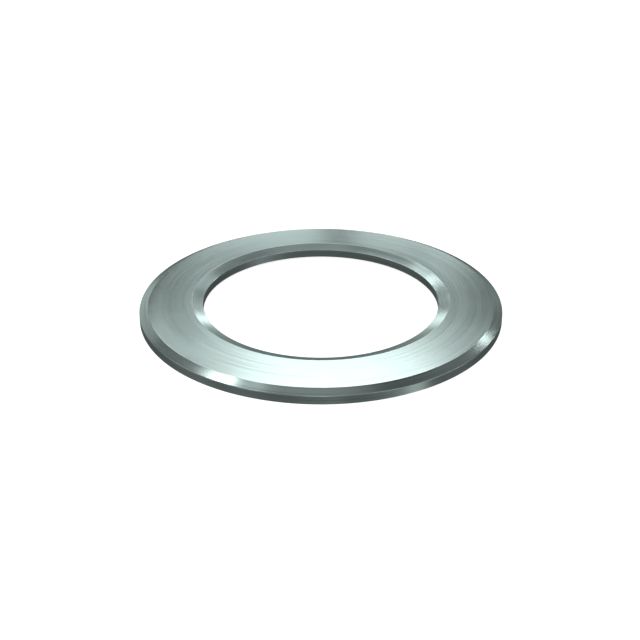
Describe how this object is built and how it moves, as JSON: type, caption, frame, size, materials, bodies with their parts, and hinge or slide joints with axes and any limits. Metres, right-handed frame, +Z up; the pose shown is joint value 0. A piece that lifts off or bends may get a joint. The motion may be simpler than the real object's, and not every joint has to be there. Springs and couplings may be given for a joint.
{
  "type": "belleville washer",
  "caption": "Shallow coned spring washer of steel, bevelled at rim and bore, that keeps a bolted or bearing joint under load.",
  "frame": {"origin": "on the axis of the bore, in the plane that the washer's lower outer edge rests on", "axes": "+Z up along the bore's axis, towards the crown of the cone; the washer is round, so +X and +Y are free"},
  "size_m": [0.06, 0.06, 0.0025],
  "materials": {
    "steel": "finely ground and smooth, satin to semi-bright, with a faint cool green cast"
  },
  "bodies": {
    "root": {"washer": "steel"}
  },
  "joints": []
}
